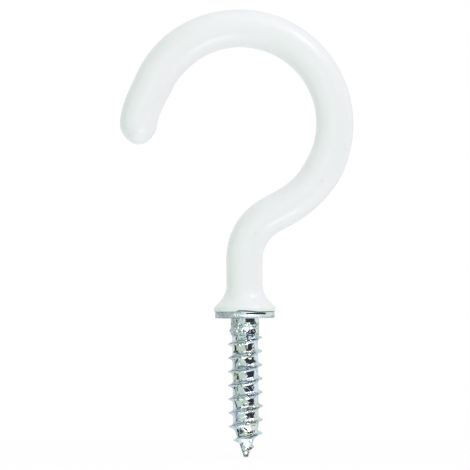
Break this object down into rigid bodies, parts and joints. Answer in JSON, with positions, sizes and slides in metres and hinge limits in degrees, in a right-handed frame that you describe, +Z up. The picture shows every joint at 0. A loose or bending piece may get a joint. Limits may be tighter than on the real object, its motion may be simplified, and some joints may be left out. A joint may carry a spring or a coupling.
{
  "type": "cup hook",
  "caption": "White vinyl-coated wire hook bent like a question mark, with a round collar and a wood screw, for hanging cups and utensils under a shelf.",
  "frame": {"origin": "centre of the collar's flat seat, on the screw's axis", "axes": "+Z up the stem towards the hook, with the screw to -Z; the hook lies in the XZ plane with its mouth towards -X; -Y is the front"},
  "size_m": [0.0288, 0.0076, 0.0551],
  "materials": {
    "zinc_plate": "bright zinc plate",
    "white_vinyl": "smooth dipped white vinyl"
  },
  "bodies": {
    "root": {"steel_hook": "zinc_plate", "vinyl_coating": "white_vinyl"}
  },
  "joints": []
}
